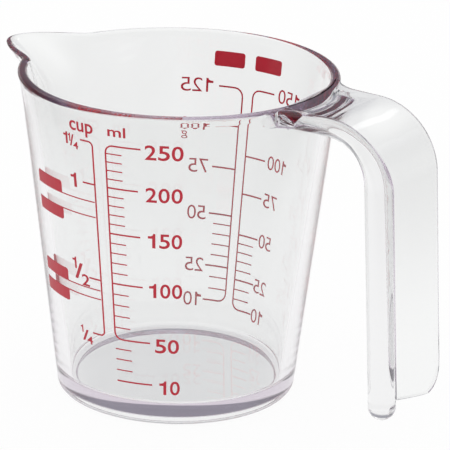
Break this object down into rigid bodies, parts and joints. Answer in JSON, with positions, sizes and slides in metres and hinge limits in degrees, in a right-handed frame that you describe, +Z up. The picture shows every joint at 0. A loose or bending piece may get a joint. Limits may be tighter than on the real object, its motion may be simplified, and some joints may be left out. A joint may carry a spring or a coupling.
{
  "type": "measuring cup",
  "caption": "Clear tapered measuring cup with a drawn-out pouring spout, an open strap handle and red printed volume and weight scales on its wall.",
  "frame": {"origin": "middle of the whole outline's box, on the table plane under the foot ring; the cup's own axis stands 9.3 mm from it towards -X", "axes": "+X from the spout to the handle, +Z up along the cup's axis, +Y to the left seen from behind the handle"},
  "size_m": [0.1284, 0.0832, 0.0868],
  "materials": {
    "clear_plastic": "clear, polished, faint violet tint in thick sections",
    "red_ink": "screen-printed red ink, satin"
  },
  "bodies": {
    "root": {"cup_body": "clear_plastic", "handle": "clear_plastic", "ml_scale": "red_ink", "ml_mark_40": "red_ink", "ml_mark_30": "red_ink", "ml_mark_20": "red_ink", "ml_mark_10": "red_ink", "cup_scale": "red_ink", "level_tag_180ml": "red_ink", "level_tag_164ml": "red_ink", "level_tag_90ml": "red_ink", "level_tag_82ml": "red_ink", "flour_scale": "red_ink", "sugar_scale": "red_ink", "flour_tag": "red_ink", "sugar_tag": "red_ink"}
  },
  "joints": []
}
